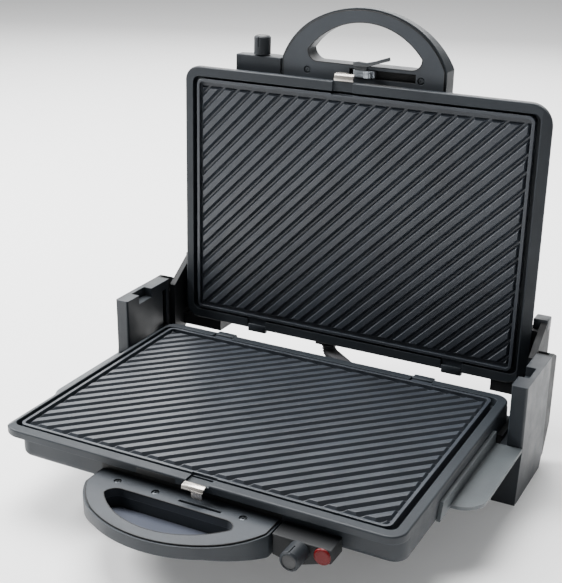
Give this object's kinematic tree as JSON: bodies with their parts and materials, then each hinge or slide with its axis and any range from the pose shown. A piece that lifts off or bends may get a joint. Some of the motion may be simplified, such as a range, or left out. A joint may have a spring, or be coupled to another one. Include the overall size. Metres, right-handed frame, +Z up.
{
  "type": "contact grill",
  "caption": "Electric contact grill, open: two hinged halves with ribbed plates, loop handles, a lifting hinge, turning knobs and a sliding latch",
  "frame": {"origin": "middle of the open grill's footprint, on the surface it stands on", "axes": "+Z up, +Y from the base's handle to the hinge and the open lid, +X to the right of the user"},
  "size_m": [0.41, 0.4349, 0.3853],
  "materials": {
    "shell_plastic": "satin charcoal moulding with a fine grain",
    "insert_plastic": "satin charcoal moulding, a little lighter",
    "tower_plastic": "semi-gloss near-black moulding",
    "black_plastic": "matt black moulding",
    "knob_plastic": "satin charcoal",
    "latch_plastic": "satin mid grey",
    "plate_coating": "cast, with a semi-gloss dark non-stick coating",
    "clip_steel": "nickel plated spring sheet",
    "zinc_steel": "zinc plated",
    "screw_steel": "blackened steel",
    "element_steel": "heat-darkened sheath",
    "bright_aluminium": "bright rolled sheet",
    "ceramic": "glazed off-white",
    "foot_rubber": "matt",
    "hose_rubber": "matt, ribbed",
    "lamp_red": "translucent red dome"
  },
  "bodies": {
    "base": {"base_shell": "shell_plastic", "base_plate": "plate_coating", "base_heating_element": "element_steel", "base_element_terminals": "ceramic", "base_element_clamps": "zinc_steel", "base_heat_reflector": "bright_aluminium", "base_outer_cover": "shell_plastic", "base_cover_screws": "screw_steel", "base_feet": "foot_rubber", "base_handle_shell": "shell_plastic", "base_handle_insert": "insert_plastic", "base_handle_screws": "screw_steel", "base_control_box": "shell_plastic", "base_thermostat": "black_plastic", "pilot_lamp_lens": "lamp_red", "left_side_bracket": "black_plastic", "left_hinge_tower": "tower_plastic", "left_tower_cover": "black_plastic", "right_side_bracket": "black_plastic", "right_hinge_tower": "tower_plastic", "right_tower_cover": "black_plastic", "hinge_crossbar": "black_plastic", "cable_guard": "hose_rubber", "guard_gland": "black_plastic", "cord_inlet_bush": "hose_rubber", "terminal_block": "ceramic"},
    "base_knob_body": {"base_knob": "knob_plastic", "base_knob_spindle": "zinc_steel"},
    "lid_knob_body": {"lid_knob": "knob_plastic", "lid_knob_spindle": "zinc_steel"},
    "latch": {"lid_latch": "latch_plastic"},
    "base_clip": {"base_plate_clip": "clip_steel"},
    "lid_clip": {"lid_plate_clip": "clip_steel"},
    "carriage": {"left_slider_block": "black_plastic", "right_slider_block": "black_plastic", "left_hinge_pin": "zinc_steel", "right_hinge_pin": "zinc_steel"},
    "lid": {"lid_shell": "shell_plastic", "lid_plate": "plate_coating", "lid_heating_element": "element_steel", "lid_element_terminals": "ceramic", "lid_element_clamps": "zinc_steel", "lid_heat_reflector": "bright_aluminium", "lid_outer_cover": "shell_plastic", "lid_cover_screws": "screw_steel", "lid_feet": "foot_rubber", "lid_handle_shell": "shell_plastic", "lid_handle_insert": "insert_plastic", "lid_handle_screws": "screw_steel", "lid_control_box": "shell_plastic", "lid_thermostat": "black_plastic", "left_lid_arm": "black_plastic", "right_lid_arm": "black_plastic", "guard_collar": "black_plastic"}
  },
  "joints": [
    {"name": "carriage_lift", "type": "slide", "parent": "base", "child": "carriage", "axis": [0, 0, 1], "range_m": [0, 0.0439]},
    {"name": "lid_hinge", "type": "hinge", "parent": "carriage", "child": "lid", "pos_m": [0, 0.11815, 0.0508], "axis": [-1, 0, 0], "range_deg": [-91.4, 88.6], "deforming": ["cable_guard"]},
    {"name": "base_knob_turn", "type": "hinge", "parent": "base", "child": "base_knob_body", "pos_m": [0.107, -0.17445, 0.05], "axis": [0, -1, 0], "range_deg": [0, 270]},
    {"name": "lid_knob_turn", "type": "hinge", "parent": "lid", "child": "lid_knob_body", "pos_m": [-0.107, 0.16998, 0.34222], "axis": [0, 0.0244, 0.9997], "range_deg": [0, 270]},
    {"name": "latch_slide", "type": "slide", "parent": "lid", "child": "latch", "axis": [1, 0, 0], "range_m": [0, 0.038]},
    {"name": "base_clip_slide", "type": "slide", "parent": "base", "child": "base_clip", "axis": [0, -1, 0], "range_m": [0, 0.004], "stiffness_N_per_m": 400},
    {"name": "lid_clip_slide", "type": "slide", "parent": "lid", "child": "lid_clip", "axis": [0, 0.0244, 0.9997], "range_m": [0, 0.004], "stiffness_N_per_m": 400}
  ]
}
